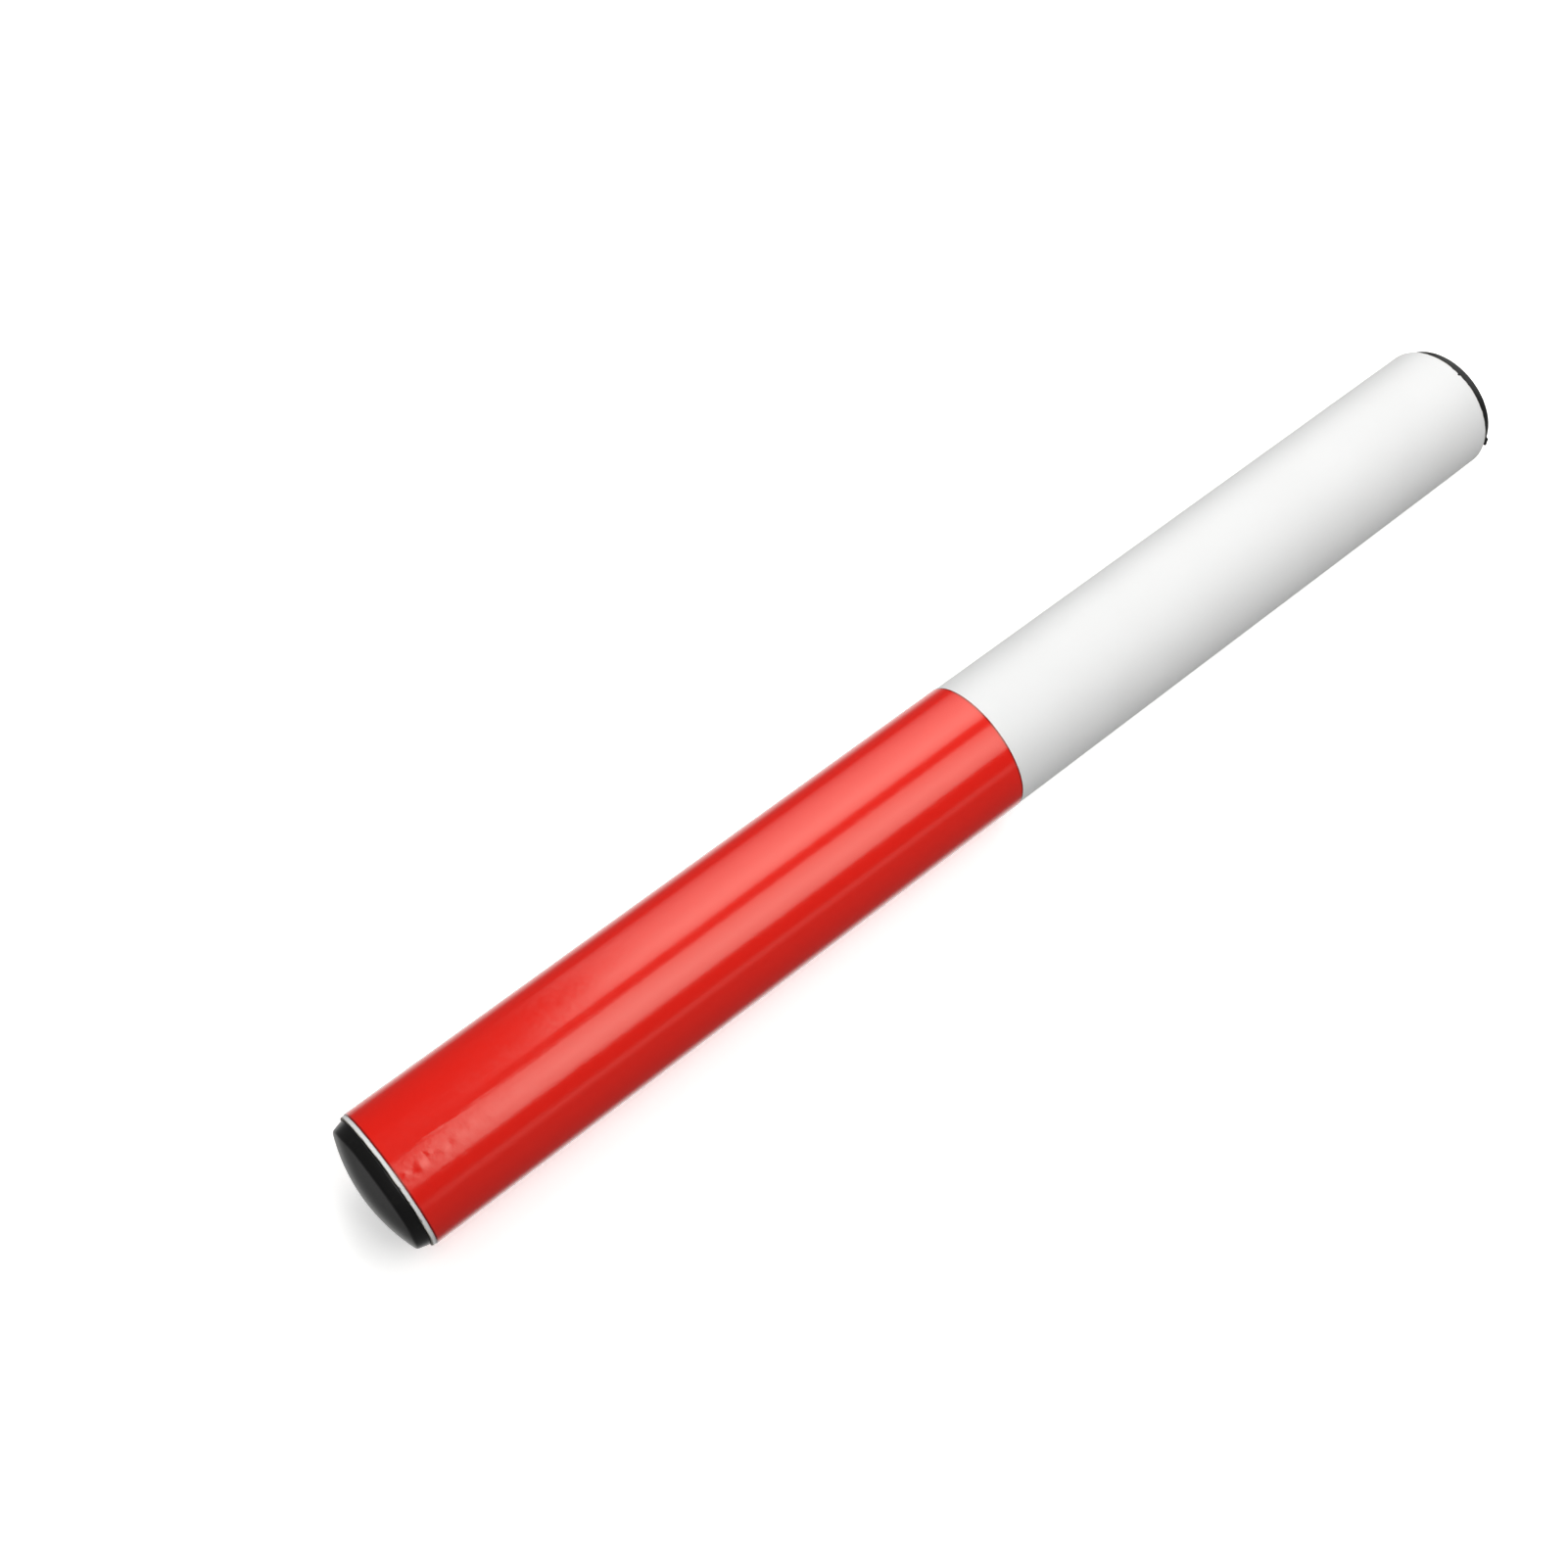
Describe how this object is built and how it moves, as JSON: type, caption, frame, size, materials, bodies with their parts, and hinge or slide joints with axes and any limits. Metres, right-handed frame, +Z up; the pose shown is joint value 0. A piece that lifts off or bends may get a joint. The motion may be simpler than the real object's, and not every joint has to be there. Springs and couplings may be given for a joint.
{
  "type": "juggling stick",
  "caption": "Straight juggling stick: white rigid pipe, glossy red film wrapped round the handle half, black domed push-in plug at each end.",
  "frame": {"origin": "on the pipe's axis, midway between its two sawn ends, which is the middle of the whole stick", "axes": "+X along the stick from the handle end to the tip end; +Z up as the stick lies on a floor; the film's lap faces +Y and down"},
  "size_m": [0.327, 0.0322, 0.0322],
  "materials": {
    "white_pvc": "satin extruded rigid PVC",
    "red_film": "glossy calendered self-adhesive vinyl",
    "black_polythene": "satin moulded polythene"
  },
  "bodies": {
    "stick": {"tube": "white_pvc", "grip_film": "red_film"},
    "handle_plug": {"handle_plug": "black_polythene"},
    "tip_plug": {"tip_plug": "black_polythene"}
  },
  "joints": [
    {"name": "handle_plug_pull", "type": "slide", "parent": "stick", "child": "handle_plug", "axis": [-1, 0, 0], "range_m": [0, 0.02]},
    {"name": "tip_plug_pull", "type": "slide", "parent": "stick", "child": "tip_plug", "axis": [1, 0, 0], "range_m": [0, 0.02]}
  ]
}
